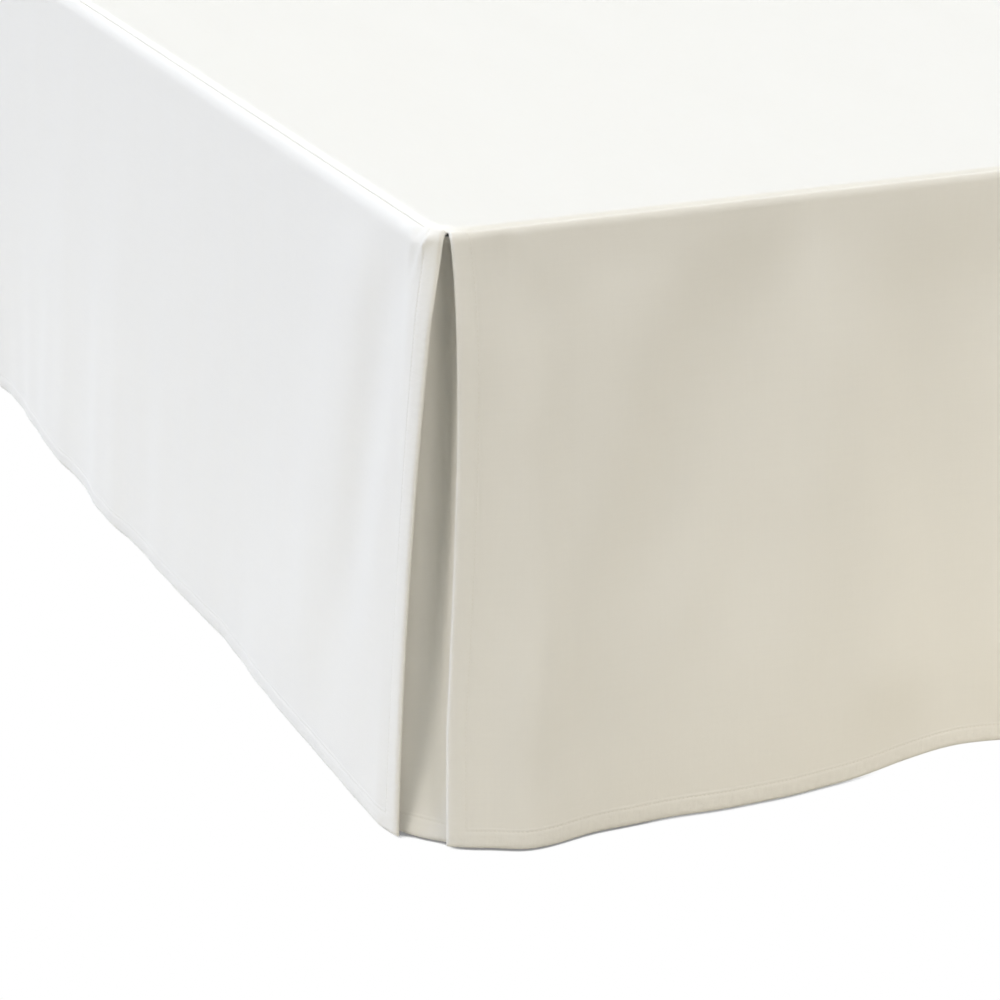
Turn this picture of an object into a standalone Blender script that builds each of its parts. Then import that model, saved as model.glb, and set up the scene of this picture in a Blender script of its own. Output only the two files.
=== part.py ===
"""Tailored bed skirt with split corners, hanging on a plain bed base.

Three hemmed panels hang from a flat deck cloth: one down each side and one
across the foot.  They part at the two foot corners, where an inset panel
hangs behind the split.  +Y points to the head of the bed, +Z up, and the
floor is at Z = 0.

A "run" is a length along the hang line, the rounded plan outline down which
the cloth hangs.  It is measured from the middle of the foot, negative to the
left, and goes round both foot corners and up the sides to the head.
"""

from collections import namedtuple
from math import cos, pi, radians, sin

import bmesh
import bpy
from mathutils import Vector

# Bed base, a queen size: 60 by 80 inches.
BED_WIDTH = 1.524
BED_LENGTH = 2.032
BASE_DEPTH = 0.203
BASE_TOP = 0.3797
BASE_CORNER_RADIUS = 0.060
BASE_CORNER_SEGMENTS = 6
BASE_EDGE_RADIUS = 0.010
BASE_EDGE_SEGMENTS = 3

# Legs, three along each side.
LEG_TOP_RADIUS = 0.030
LEG_FOOT_RADIUS = 0.022
LEG_PLATE = 0.008
LEG_CHAMFER = 0.002
LEG_INSET = 0.095
LEG_STEPS = 16

# Cloth layers.  The deck lies on the base; a hem is its own cloth, doubled.
SEAT_GAP = 0.0003
SEAM_GAP = 0.0013
DECK_THICKNESS = 0.0025
CLOTH_THICKNESS = 0.0015
HEM_THICKNESS = 0.0021
INSET_THICKNESS = 0.0012
HEM_WIDTH = 0.0127

# The hang line stands outside the base, and the panels run from seam to hem.
HANG_GAP = 0.008
HANG_CORNER_RADIUS = 0.030
SEAM_HEIGHT = 0.383
HEM_HEIGHT = 0.003
HEAD_SETBACK = 0.006

# From the seam, each panel rolls over to the hang line.
SEAM_INBOARD_FOOT = 0.005
SEAM_INBOARD_SIDE = 0.008
ROLL_DROP_FOOT = 0.007
ROLL_DROP_SIDE = 0.012

# The hem stands outside the hang line, and is drawn in at each split.
HEM_REACH = 0.021
HEM_REACH_AT_SPLIT = 0.009
REACH_EASE = 0.045
SPLIT_TURN = 0.42

# An inset hangs behind the panels and sinks back inside the split.
INSET_HALF_WIDTH = 0.130
INSET_BEHIND_SEAM = 0.0026
INSET_BEHIND = 0.0032
INSET_RECESS_TOP = 0.008
INSET_RECESS_HEM = 0.003

# Panel edges at each split, as runs past the straight of the foot.  The foot
# panel's edge bows, and the side panel's edge swings open towards the hem.
Split = namedtuple("Split", "foot_edge foot_bow side_edge side_swing")
SPLITS = {
    -1: Split(foot_edge=0.0186, foot_bow=0.0060, side_edge=0.0194, side_swing=0.0220),
    1: Split(foot_edge=0.0190, foot_bow=0.0030, side_edge=0.0198, side_swing=0.0160),
}
SIDE_SWING_POWER = 2.5
FOOT_BOW_END = 0.8
FOOT_BOW_POWER = 0.6
EDGE_PULL = 0.120

# Folds, a row each.  The runs are along the panel, from the end of a corner's
# arc, where the fold leaves the roll and where it meets the hem, and a bend
# above 1 keeps it upright at first.  Height is outwards, negative in a
# trough.  It grows until the hang fraction in "full" and is gone at "ends".
Fold = namedtuple("Fold", "top_run hem_run bend half_width height full ends lift")
FADE_LENGTH = 0.3
LEFT_FOLDS = [Fold(*row) for row in (
    (-0.025, 0.180, 1.0, 0.050, -0.0040, 0.10, 0.95, 0.000),
    (0.020, 0.230, 1.0, 0.070, 0.0045, 0.25, 0.95, 0.000),
    (0.300, 0.320, 1.0, 0.130, -0.0035, 0.40, 1.60, 0.001),
    (0.560, 0.590, 1.0, 0.090, 0.0060, 0.30, 1.60, 0.000),
    (0.700, 0.730, 1.0, 0.080, 0.0040, 0.30, 1.60, 0.000),
    (0.840, 0.880, 1.0, 0.080, -0.0035, 0.30, 1.60, 0.001),
    (1.050, 1.090, 1.2, 0.110, -0.0050, 0.40, 1.60, 0.002),
    (1.260, 1.230, 1.0, 0.100, 0.0050, 0.30, 1.60, 0.000),
    (1.450, 1.500, 1.0, 0.120, -0.0045, 0.40, 1.60, 0.002),
    (1.690, 1.660, 1.0, 0.100, 0.0040, 0.30, 1.60, 0.000),
    (1.850, 1.870, 1.0, 0.090, -0.0030, 0.40, 1.60, 0.001),
)]
RIGHT_FOLDS = [Fold(*row) for row in (
    (0.010, 0.120, 1.0, 0.060, -0.0030, 0.15, 1.00, 0.000),
    (0.080, 0.200, 1.0, 0.080, 0.0040, 0.25, 1.40, 0.000),
    (0.330, 0.350, 1.0, 0.110, -0.0045, 0.40, 1.60, 0.002),
    (0.520, 0.500, 1.0, 0.100, 0.0045, 0.30, 1.60, 0.000),
    (0.700, 0.760, 1.0, 0.120, -0.0050, 0.40, 1.60, 0.002),
    (0.960, 0.940, 1.0, 0.100, 0.0055, 0.30, 1.60, 0.000),
    (1.170, 1.130, 1.0, 0.090, -0.0030, 0.30, 1.60, 0.001),
    (1.340, 1.390, 1.0, 0.120, 0.0040, 0.30, 1.60, 0.000),
    (1.570, 1.600, 1.0, 0.100, -0.0050, 0.40, 1.60, 0.002),
    (1.790, 1.760, 1.0, 0.090, 0.0040, 0.30, 1.60, 0.000),
)]
FOOT_FOLDS = [Fold(*row) for row in (
    (0.012, 0.032, 1.0, 0.045, 0.0050, 0.20, 1.60, 0.000),
    (0.165, 0.010, 1.5, 0.060, -0.0050, 0.20, 0.92, 0.000),
    (0.230, 0.180, 1.0, 0.075, 0.0040, 0.15, 1.60, 0.000),
    (0.300, 0.325, 1.0, 0.100, -0.0080, 0.20, 1.60, 0.006),
    (0.450, 0.480, 1.0, 0.090, 0.0040, 0.25, 1.60, 0.000),
    (0.600, 0.580, 1.0, 0.080, -0.0050, 0.30, 1.60, 0.001),
    (0.720, 0.740, 1.0, 0.090, 0.0050, 0.25, 1.60, 0.000),
    (0.870, 0.900, 1.0, 0.090, -0.0060, 0.30, 1.60, 0.003),
    (1.020, 1.060, 1.0, 0.100, 0.0045, 0.25, 1.60, 0.000),
    (1.240, 1.200, 1.0, 0.090, -0.0050, 0.30, 1.60, 0.001),
    (1.400, 1.425, 1.0, 0.060, 0.0045, 0.20, 1.60, 0.000),
)]

# Grid of each cloth: steps along the run, roll angles and hang fractions.
FINE_STEP = 0.006
COARSE_STEP = 0.042
STEP_GROWTH = 0.14
ROLL_ANGLES = (0.0, 32.0, 62.0, 90.0)
HANG_FRACTIONS = (0.08, 0.20, 0.34, 0.48, 0.62, 0.76, 0.88)

# Colours.
COTTON_IVORY = (0.86, 0.83, 0.76, 1.0)
TICKING_WHITE = (0.74, 0.73, 0.70, 1.0)
LEG_BROWN = (0.13, 0.08, 0.05, 1.0)

# Derived sizes.
BASE_BOTTOM = BASE_TOP - BASE_DEPTH
HANG_HALF_WIDTH = BED_WIDTH / 2 + HANG_GAP
HANG_HALF_LENGTH = BED_LENGTH / 2 + HANG_GAP
BED_CENTRE_Y = (HANG_GAP + HEM_REACH) / 2
FOOT_STRAIGHT = HANG_HALF_WIDTH - HANG_CORNER_RADIUS
ARC_RUN = HANG_CORNER_RADIUS * pi / 2
SIDE_START = FOOT_STRAIGHT + ARC_RUN
HEAD_RUN = SIDE_START + HANG_HALF_LENGTH - HANG_CORNER_RADIUS + BED_LENGTH / 2 - HEAD_SETBACK


def smooth(value):
    """Ease from 0 to 1 while the value goes from 0 to 1."""
    value = min(max(value, 0.0), 1.0)
    return value * value * (3.0 - 2.0 * value)


def hang_point(run):
    """Plan point of the hang line at a run, and the outward direction there."""
    side = -1.0 if run < 0.0 else 1.0
    length = abs(run)
    if length < FOOT_STRAIGHT:
        outward = Vector((0.0, -1.0))
        point = Vector((length, -HANG_HALF_LENGTH))
    elif length < SIDE_START:
        angle = (length - FOOT_STRAIGHT) / HANG_CORNER_RADIUS
        outward = Vector((sin(angle), -cos(angle)))
        centre = Vector((FOOT_STRAIGHT, HANG_CORNER_RADIUS - HANG_HALF_LENGTH))
        point = centre + outward * HANG_CORNER_RADIUS
    else:
        outward = Vector((1.0, 0.0))
        point = Vector((HANG_HALF_WIDTH, HANG_CORNER_RADIUS - HANG_HALF_LENGTH + length - SIDE_START))
    return Vector((side * point.x, point.y + BED_CENTRE_Y)), Vector((side * outward.x, outward.y))


def foot_to_side(run, foot_value, side_value):
    """A size that eases from its foot value to its side value round a corner."""
    return foot_value + (side_value - foot_value) * smooth((abs(run) - FOOT_STRAIGHT) / ARC_RUN)


def hem_reach(run):
    """How far outside the hang line the hem stands."""
    from_split = abs(abs(run) - FOOT_STRAIGHT - ARC_RUN * SPLIT_TURN)
    return HEM_REACH_AT_SPLIT + (HEM_REACH - HEM_REACH_AT_SPLIT) * smooth(from_split / REACH_EASE)


def fold_sum(folds, along, hang):
    """Outward height and hem lift of a panel's folds, at a place along it."""
    height = 0.0
    lift = 0.0
    for fold in folds:
        centre = fold.top_run + (fold.hem_run - fold.top_run) * hang ** fold.bend
        offset = abs(along - centre) / fold.half_width
        if offset < 1.0:
            swell = (1.0 + cos(pi * offset)) / 2
            fade = 1.0 - smooth((hang - fold.ends + FADE_LENGTH) / FADE_LENGTH)
            height += fold.height * swell * smooth(hang / fold.full) * fade
            lift += fold.lift * swell * hang
    return height, lift


def folds_at(run, hang):
    """Fold height and hem lift at a run, easing between panels round a corner."""
    foot = fold_sum(FOOT_FOLDS, run + FOOT_STRAIGHT, hang)
    side = fold_sum(LEFT_FOLDS if run < 0.0 else RIGHT_FOLDS, abs(run) - SIDE_START, hang)
    return [foot_to_side(run, on_foot, on_side) for on_foot, on_side in zip(foot, side)]


def cloth_point(run, row, behind_seam=0.0, behind=0.0):
    """A point of the hanging cloth, or of a layer behind it, at a run and a row."""
    inboard = foot_to_side(run, SEAM_INBOARD_FOOT, SEAM_INBOARD_SIDE)
    roll_drop = foot_to_side(run, ROLL_DROP_FOOT, ROLL_DROP_SIDE)
    height, lift = folds_at(run, row.hang)
    turn = radians(row.roll)
    roll_out = (inboard - behind) * sin(turn) - inboard
    roll_fall = behind_seam + (roll_drop - behind_seam) * (1.0 - cos(turn))
    out = roll_out + hem_reach(run) * row.hang + height
    fall = roll_fall + (SEAM_HEIGHT - roll_drop - HEM_HEIGHT) * row.hang
    point, outward = hang_point(run)
    return Vector((*(point + outward * out), SEAM_HEIGHT - fall + lift))


# A row across a panel, as its roll angle and its hang fraction.
Row = namedtuple("Row", "roll hang")


def panel_rows():
    """Rows from the seam over the roll and down to the hem."""
    hem_line = 1.0 - HEM_WIDTH / (SEAM_HEIGHT - ROLL_DROP_SIDE - HEM_HEIGHT)
    over = [Row(angle, 0.0) for angle in ROLL_ANGLES]
    down = [Row(90.0, hang) for hang in (*HANG_FRACTIONS, hem_line, 1.0)]
    return over + down


def panel_runs(first, last):
    """Runs from first to last, close together round the corners."""
    runs = [first]
    while runs[-1] < last:
        from_corner = max(FOOT_STRAIGHT - abs(runs[-1]), abs(runs[-1]) - SIDE_START, 0.0)
        runs.append(runs[-1] + min(FINE_STEP + STEP_GROWTH * from_corner, COARSE_STEP))
    stretch = (last - first) / (runs[-1] - first)
    return [first + (run - first) * stretch for run in runs]


def foot_edge(side, hang):
    """Run of the foot panel's edge at a split."""
    split = SPLITS[side]
    bow = sin(pi * min(hang / FOOT_BOW_END, 1.0) ** FOOT_BOW_POWER)
    return side * (FOOT_STRAIGHT + split.foot_edge - split.foot_bow * bow)


def side_edge(side, hang):
    """Run of a side panel's edge at its split."""
    split = SPLITS[side]
    swing = 1.0 - (1.0 - hang) ** SIDE_SWING_POWER
    return side * (FOOT_STRAIGHT + split.side_edge + split.side_swing * swing)


def pulled(run, hang, edge, side):
    """A panel's run after its edge has moved, the move easing out into the panel."""
    start = edge(side, 0.0)
    return run + (edge(side, hang) - start) * (1.0 - smooth(abs(run - start) / EDGE_PULL))


def material(name, colour, roughness):
    """A plain Principled material."""
    made = bpy.data.materials.new(name)
    made.use_nodes = True
    shader = made.node_tree.nodes["Principled BSDF"]
    shader.inputs["Base Color"].default_value = colour
    shader.inputs["Roughness"].default_value = roughness
    made.diffuse_color = colour
    return made


def cloth_sheet(name, runs, place, thickness, hemmed, colour):
    """A closed sheet: a grid bent by place(run, row), thickened inwards, thicker where hemmed."""
    rows = panel_rows()
    across = len(runs) - 1
    down = len(rows) - 1
    grid = bmesh.new()
    bmesh.ops.create_grid(grid, x_segments=across, y_segments=down, size=0.5)
    hem_points = []
    for point in grid.verts:
        run = runs[round((point.co.x + 0.5) * across)]
        row = rows[round((0.5 - point.co.y) * down)]
        point.co = place(run, row)
        if hemmed(run, row):
            hem_points.append(point.index)
    mesh = bpy.data.meshes.new(name)
    grid.to_mesh(mesh)
    grid.free()
    mesh.shade_smooth()
    mesh.materials.append(material(name, colour, 0.9))
    sheet = bpy.data.objects.new(name, mesh)
    hem = sheet.vertex_groups.new(name="hem")
    hem.add(hem_points, 1.0, "REPLACE")
    solid = sheet.modifiers.new("thickness", "SOLIDIFY")
    solid.thickness = HEM_THICKNESS
    solid.offset = -1.0
    solid.vertex_group = hem.name
    solid.thickness_vertex_group = thickness / HEM_THICKNESS
    return sheet


def foot_drop():
    """The panel across the foot, from split edge to split edge."""
    left = foot_edge(-1, 0.0)
    right = foot_edge(1, 0.0)

    def place(run, row):
        moved = pulled(run, row.hang, foot_edge, -1 if run < 0.0 else 1)
        return cloth_point(moved, row)

    def hemmed(run, row):
        from_edge = min(run - left, right - run)
        return row.hang == 1.0 or (row.hang > 0.0 and from_edge < HEM_WIDTH)

    return cloth_sheet("foot_drop", panel_runs(left, right), place, CLOTH_THICKNESS, hemmed, COTTON_IVORY)


def side_drop(name, side):
    """A side panel, from its split edge to the head of the bed."""
    edge = side_edge(side, 0.0)
    head = side * HEAD_RUN

    def place(run, row):
        return cloth_point(pulled(run, row.hang, side_edge, side), row)

    def hemmed(run, row):
        from_end = min(abs(run - edge), abs(head - run))
        return row.hang == 1.0 or (row.hang > 0.0 and from_end < HEM_WIDTH)

    runs = panel_runs(min(edge, head), max(edge, head))
    return cloth_sheet(name, runs, place, CLOTH_THICKNESS, hemmed, COTTON_IVORY)


def corner_inset(name, side):
    """The panel behind a split, folded round the corner and sunk back inside the opening."""
    middle = side * (FOOT_STRAIGHT + ARC_RUN / 2)

    def place(run, row):
        edges = (side_edge(side, row.hang), foot_edge(side, row.hang))
        half_open = abs(edges[0] - edges[1]) / 2 + HEM_WIDTH
        inside = 1.0 - smooth(abs(run - sum(edges) / 2) / half_open)
        recess = INSET_RECESS_TOP + (INSET_RECESS_HEM - INSET_RECESS_TOP) * row.hang
        sunk = recess * inside * smooth(row.roll / 90.0)
        return cloth_point(run, row, INSET_BEHIND_SEAM, INSET_BEHIND + sunk)

    def hemmed(run, row):
        return False

    runs = panel_runs(middle - INSET_HALF_WIDTH, middle + INSET_HALF_WIDTH)
    return cloth_sheet(name, runs, place, INSET_THICKNESS, hemmed, COTTON_IVORY)


def deck():
    """The flat cloth on the base, its outline just inside the panels' seam."""
    outline = bpy.data.curves.new("deck", "CURVE")
    outline.dimensions = "2D"
    outline.fill_mode = "BOTH"
    outline.extrude = DECK_THICKNESS / 2
    line = outline.splines.new("POLY")
    runs = panel_runs(-HEAD_RUN, HEAD_RUN)
    line.points.add(len(runs) - 1)
    for corner, run in zip(line.points, runs):
        point, outward = hang_point(run)
        inboard = foot_to_side(run, SEAM_INBOARD_FOOT, SEAM_INBOARD_SIDE)
        corner.co = (*(point - outward * (inboard + SEAM_GAP)), 0.0, 1.0)
    line.use_cyclic_u = True
    outline.materials.append(material("deck", COTTON_IVORY, 0.9))
    cloth = bpy.data.objects.new("deck", outline)
    cloth.location.z = BASE_TOP + SEAT_GAP + DECK_THICKNESS / 2
    return cloth


def bed_base():
    """The plain box that the skirt fits over, with rounded corners and softened rims."""
    box = bmesh.new()
    bmesh.ops.create_cube(box, size=1.0)
    bmesh.ops.scale(box, vec=(BED_WIDTH, BED_LENGTH, BASE_DEPTH), verts=box.verts)
    upright = [edge for edge in box.edges if edge.verts[0].co.z * edge.verts[1].co.z < 0.0]
    bmesh.ops.bevel(box, geom=upright, offset=BASE_CORNER_RADIUS, segments=BASE_CORNER_SEGMENTS,
                    profile=0.5, affect="EDGES")
    rims = [edge for edge in box.edges if edge.verts[0].co.z * edge.verts[1].co.z > 0.0]
    bmesh.ops.bevel(box, geom=rims, offset=BASE_EDGE_RADIUS, segments=BASE_EDGE_SEGMENTS,
                    profile=0.5, affect="EDGES")
    mesh = bpy.data.meshes.new("bed_base")
    box.to_mesh(mesh)
    box.free()
    mesh.shade_smooth()
    mesh.set_sharp_from_angle(angle=radians(40.0))
    mesh.materials.append(material("bed_base", TICKING_WHITE, 0.85))
    base = bpy.data.objects.new("bed_base", mesh)
    base.location = (0.0, BED_CENTRE_Y, BASE_TOP - BASE_DEPTH / 2)
    return base


def leg_profile():
    """Mesh of a leg's half outline, from the middle of its top to the middle of its foot."""
    top = BASE_BOTTOM - SEAT_GAP
    outline = (
        (0.0, top),
        (LEG_TOP_RADIUS + LEG_CHAMFER, top),
        (LEG_TOP_RADIUS + LEG_CHAMFER, top - LEG_PLATE),
        (LEG_TOP_RADIUS, top - LEG_PLATE),
        (LEG_FOOT_RADIUS, LEG_CHAMFER),
        (LEG_FOOT_RADIUS - LEG_CHAMFER, 0.0),
        (0.0, 0.0),
    )
    profile = bmesh.new()
    points = [profile.verts.new((radius, 0.0, height)) for radius, height in outline]
    for upper, lower in zip(points, points[1:]):
        profile.edges.new((upper, lower))
    mesh = bpy.data.meshes.new("leg")
    profile.to_mesh(mesh)
    profile.free()
    mesh.materials.append(material("leg", LEG_BROWN, 0.5))
    return mesh


def leg(name, profile, place):
    """A turned leg standing on the floor."""
    turned = bpy.data.objects.new(name, profile)
    turned.location = (*place, 0.0)
    screw = turned.modifiers.new("turn", "SCREW")
    screw.steps = LEG_STEPS
    screw.render_steps = LEG_STEPS
    screw.use_merge_vertices = True
    screw.merge_threshold = 0.0001
    return turned


def legs():
    """Six legs, in a row of three under each side."""
    profile = leg_profile()
    across = BED_WIDTH / 2 - LEG_INSET
    along = BED_LENGTH / 2 - LEG_INSET
    places = [(side * across, BED_CENTRE_Y + end * along) for side in (-1, 1) for end in (-1, 0, 1)]
    return [leg(f"leg_{number}", profile, place) for number, place in enumerate(places, 1)]


def main():
    for old in list(bpy.data.objects):
        bpy.data.objects.remove(old)
    collection = bpy.data.collections.new("bed_skirt_on_bed_base")
    bpy.context.scene.collection.children.link(collection)
    pieces = [
        deck(),
        foot_drop(),
        side_drop("side_drop_left", -1),
        side_drop("side_drop_right", 1),
        corner_inset("corner_inset_left", -1),
        corner_inset("corner_inset_right", 1),
        bed_base(),
        *legs(),
    ]
    for piece in pieces:
        collection.objects.link(piece)


main()
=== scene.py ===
"""A tailored ivory bed skirt on a plain bed base, dressed for rendering.

The skirt's panels are thin cotton sheets, bent over the drape of their solids,
with hems, seam grooves, creases and stitches.  A "run" is a length along the
hang line, from the middle of the foot and negative to the left.  From the seam
the cloth first rolls over the edge, where "roll" goes from 0 to 90 degrees, and
then hangs, where "hang" goes from 0 to 1 at the hem.  Lengths are in metres.
"""

from collections import namedtuple
from math import pi, radians

import bmesh
import bpy
import numpy as np
from mathutils import Matrix, Vector


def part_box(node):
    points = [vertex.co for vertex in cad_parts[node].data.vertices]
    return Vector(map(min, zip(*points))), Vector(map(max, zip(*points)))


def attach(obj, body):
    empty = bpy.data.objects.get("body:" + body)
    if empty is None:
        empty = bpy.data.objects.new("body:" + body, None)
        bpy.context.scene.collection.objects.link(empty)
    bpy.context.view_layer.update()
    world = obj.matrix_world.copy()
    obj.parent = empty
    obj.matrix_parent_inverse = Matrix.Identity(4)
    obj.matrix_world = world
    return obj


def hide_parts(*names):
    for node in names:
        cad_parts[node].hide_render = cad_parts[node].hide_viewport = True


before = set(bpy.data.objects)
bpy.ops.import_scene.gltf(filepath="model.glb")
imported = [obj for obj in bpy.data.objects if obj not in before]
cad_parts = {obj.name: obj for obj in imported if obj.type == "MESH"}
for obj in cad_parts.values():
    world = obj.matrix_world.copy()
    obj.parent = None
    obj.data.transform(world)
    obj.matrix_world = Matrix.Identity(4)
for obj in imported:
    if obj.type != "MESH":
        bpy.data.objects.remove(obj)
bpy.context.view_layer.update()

# ---------------------------------------------------------------- sizes
# The bed base, the hang line round it and the drape below it, as in the solids.
BED_WIDTH = 1.524
BED_LENGTH = 2.032
HANG_GAP = 0.008
HANG_CORNER_RADIUS = 0.030
SEAM_HEIGHT = 0.383
HEM_HEIGHT = 0.003
HEAD_SETBACK = 0.006
SEAM_INBOARD_FOOT = 0.005
SEAM_INBOARD_SIDE = 0.008
ROLL_DROP_FOOT = 0.007
ROLL_DROP_SIDE = 0.012
HEM_REACH = 0.021
HEM_REACH_AT_SPLIT = 0.009
REACH_EASE = 0.045
SPLIT_TURN = 0.42

# The panels behind the splits: how far they hang behind the drops, and how
# they are sunk inside the opening, deepest at a share of the way from the foot
# panel's edge to the side panel's.
INSET_HALF_WIDTH = 0.130
INSET_BEHIND_SEAM = 0.0026
INSET_BEHIND = 0.0032
INSET_RECESS_TOP = 0.008
INSET_RECESS_HEM = 0.0020
INSET_HOLLOW = 0.012
INSET_HOLLOW_POWER = 5.0
INSET_FLAT_SHARE = 0.10
INSET_DEEPEST = 0.85

HANG_HALF_WIDTH = BED_WIDTH / 2 + HANG_GAP
HANG_HALF_LENGTH = BED_LENGTH / 2 + HANG_GAP
BED_CENTRE_Y = (HANG_GAP + HEM_REACH) / 2
FOOT_STRAIGHT = HANG_HALF_WIDTH - HANG_CORNER_RADIUS
ARC_RUN = HANG_CORNER_RADIUS * pi / 2
SIDE_START = FOOT_STRAIGHT + ARC_RUN
HEAD_RUN = SIDE_START + HANG_HALF_LENGTH - HANG_CORNER_RADIUS + BED_LENGTH / 2 - HEAD_SETBACK
HANG_LENGTH = SEAM_HEIGHT - ROLL_DROP_SIDE - HEM_HEIGHT

# Cloth and sewing: thicknesses, the hem's fold with its stitched line and its
# rounded edge, the groove along the seam, and the stitches.
SINGLE_CLOTH = 0.0008
HEMMED_CLOTH = 0.0021
HEM_WIDTH = 0.0127
STITCH_INSET = 0.0113
HEM_STEP = 0.00035
HEM_STEP_WIDTH = 0.0008
STITCH_DIP = 0.00035
STITCH_DIP_WIDTH = 0.0008
FOLD_EDGE_ROUND = 0.0013
FOLD_EDGE_WIDTH = 0.0028
SEAM_GROOVE_DEPTH = 0.0028
SEAM_GROOVE_WIDTH = 0.0034
STITCH_PITCH = 0.0028
STITCH_LENGTH = 0.0021
STITCH_RADIUS = 0.00022

# Panel edges at each split, on the left (-1) and on the right (1): runs past
# the straight of the foot at the seam, and how the edges bow and swing below.
Split = namedtuple("Split", "foot_edge foot_bow side_edge side_swing")
SPLITS = {
    -1: Split(foot_edge=0.0186, foot_bow=0.0060, side_edge=0.0194, side_swing=0.0220),
    1: Split(foot_edge=0.0190, foot_bow=0.0030, side_edge=0.0198, side_swing=0.0160),
}
SIDE_SWING_POWER = 1.8
FOOT_BOW_END = 0.8
FOOT_BOW_POWER = 0.6

# How a split edge draws the cloth beside it, opens on the roll and stands out.
EDGE_PULL = 0.120
EDGE_HOLD = 0.020
ROLL_OPENING = 0.030
SIDE_EDGE_LIFT = 0.0070
FOOT_EDGE_LIFT = 0.0025
EDGE_LIFT_WIDTH = 0.035
EDGE_LIFT_DROP = 0.060
EDGE_LIFT_AT_HEM = 0.3

# Folds of the drape, a row each: where a fold stands at the seam and at the
# hem, along the foot's straight from its left end or up a side's straight from
# the corner, the bend of its line, its half width, its height outwards, the
# hang at which it is full and at which it has ended, and its lift of the hem.
Fold = namedtuple("Fold", "top_run hem_run bend half_width height full ends lift")
FADE_LENGTH = 0.3
LEFT_FOLDS = [Fold(*row) for row in (
    (0.300, 0.320, 1.0, 0.130, -0.0035, 1.20, 1.60, 0.001),
    (0.560, 0.590, 1.0, 0.090, 0.0060, 1.20, 1.60, 0.000),
    (0.700, 0.730, 1.0, 0.080, 0.0040, 1.20, 1.60, 0.000),
    (0.840, 0.880, 1.0, 0.080, -0.0035, 1.20, 1.60, 0.001),
    (1.050, 1.090, 1.2, 0.110, -0.0050, 0.40, 1.60, 0.002),
    (1.260, 1.230, 1.0, 0.100, 0.0050, 0.30, 1.60, 0.000),
    (1.450, 1.500, 1.0, 0.120, -0.0045, 0.40, 1.60, 0.002),
    (1.690, 1.660, 1.0, 0.100, 0.0040, 0.30, 1.60, 0.000),
    (1.850, 1.870, 1.0, 0.090, -0.0030, 0.40, 1.60, 0.001),
)]
RIGHT_FOLDS = [Fold(*row) for row in (
    (0.010, 0.120, 1.0, 0.060, -0.0030, 0.15, 1.00, 0.000),
    (0.080, 0.200, 1.0, 0.080, 0.0040, 0.25, 1.40, 0.000),
    (0.330, 0.350, 1.0, 0.110, -0.0045, 0.40, 1.60, 0.002),
    (0.520, 0.500, 1.0, 0.100, 0.0045, 0.30, 1.60, 0.000),
    (0.700, 0.760, 1.0, 0.120, -0.0050, 0.40, 1.60, 0.002),
    (0.960, 0.940, 1.0, 0.100, 0.0055, 0.30, 1.60, 0.000),
    (1.170, 1.130, 1.0, 0.090, -0.0030, 0.30, 1.60, 0.001),
    (1.340, 1.390, 1.0, 0.120, 0.0040, 0.30, 1.60, 0.000),
    (1.570, 1.600, 1.0, 0.100, -0.0050, 0.40, 1.60, 0.002),
    (1.790, 1.760, 1.0, 0.090, 0.0040, 0.30, 1.60, 0.000),
)]
FOOT_FOLDS = [Fold(*row) for row in (
    (0.012, 0.032, 1.0, 0.045, 0.0050, 0.20, 1.60, 0.000),
    (0.165, 0.010, 1.5, 0.060, -0.0050, 0.20, 0.78, 0.000),
    (0.230, 0.180, 1.0, 0.075, 0.0040, 0.50, 1.60, 0.000),
    (0.300, 0.325, 1.0, 0.100, -0.0080, 0.20, 1.60, 0.006),
    (0.450, 0.480, 1.0, 0.090, 0.0040, 0.25, 1.60, 0.000),
    (0.600, 0.580, 1.0, 0.080, -0.0050, 0.30, 1.60, 0.001),
    (0.720, 0.740, 1.0, 0.090, 0.0050, 0.25, 1.60, 0.000),
    (0.870, 0.900, 1.0, 0.090, -0.0060, 0.30, 1.60, 0.003),
    (1.020, 1.060, 1.0, 0.100, 0.0045, 0.25, 1.60, 0.000),
    (1.240, 1.200, 1.0, 0.090, -0.0050, 0.30, 1.60, 0.001),
    (1.400, 1.425, 1.0, 0.060, 0.0045, 0.20, 1.60, 0.000),
)]

# Creases and puckers, a row each: a soft ridge, or a trough where the height
# is negative, between two places on a panel.  Each place is a run past the
# straight of the foot, positive up the side, and a fall below the seam.
Crease = namedtuple("Crease", "from_run from_fall to_run to_fall half_width height")
LEFT_CREASES = [Crease(*row) for row in (
    (0.290, -0.080, 0.290, 0.400, 0.022, -0.0005),
    (0.050, -0.060, 0.145, 0.340, 0.040, -0.0022),
    (0.095, -0.060, 0.225, 0.400, 0.065, 0.0022),
)]
FOOT_CREASES = [Crease(*row) for row in (
    (-0.100, 0.000, -0.050, 0.320, 0.050, 0.0045),
    (-0.032, 0.040, -0.027, 0.360, 0.028, 0.0042),
    (-0.015, -0.060, -0.015, 0.300, 0.030, -0.0015),
    (-0.180, -0.080, -0.170, 0.300, 0.042, -0.0040),
    (-0.224, 0.010, -0.285, 0.420, 0.048, 0.0068),
    (-0.212, -0.080, -0.220, 0.240, 0.016, 0.0020),
    (-0.150, 0.100, -0.125, 0.280, 0.018, 0.0012),
    (-0.365, 0.060, -0.375, 0.440, 0.060, 0.0050),
)]
LEFT_PUCKERS = [Crease(*row) for row in (
    (0.037, 0.000, 0.042, 0.008, 0.005, -0.0014),
    (0.028, 0.003, 0.038, 0.019, 0.003, 0.0012),
    (0.039, 0.012, 0.044, 0.028, 0.004, -0.0014),
    (0.058, 0.000, 0.062, 0.006, 0.004, -0.0012),
)]
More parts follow.
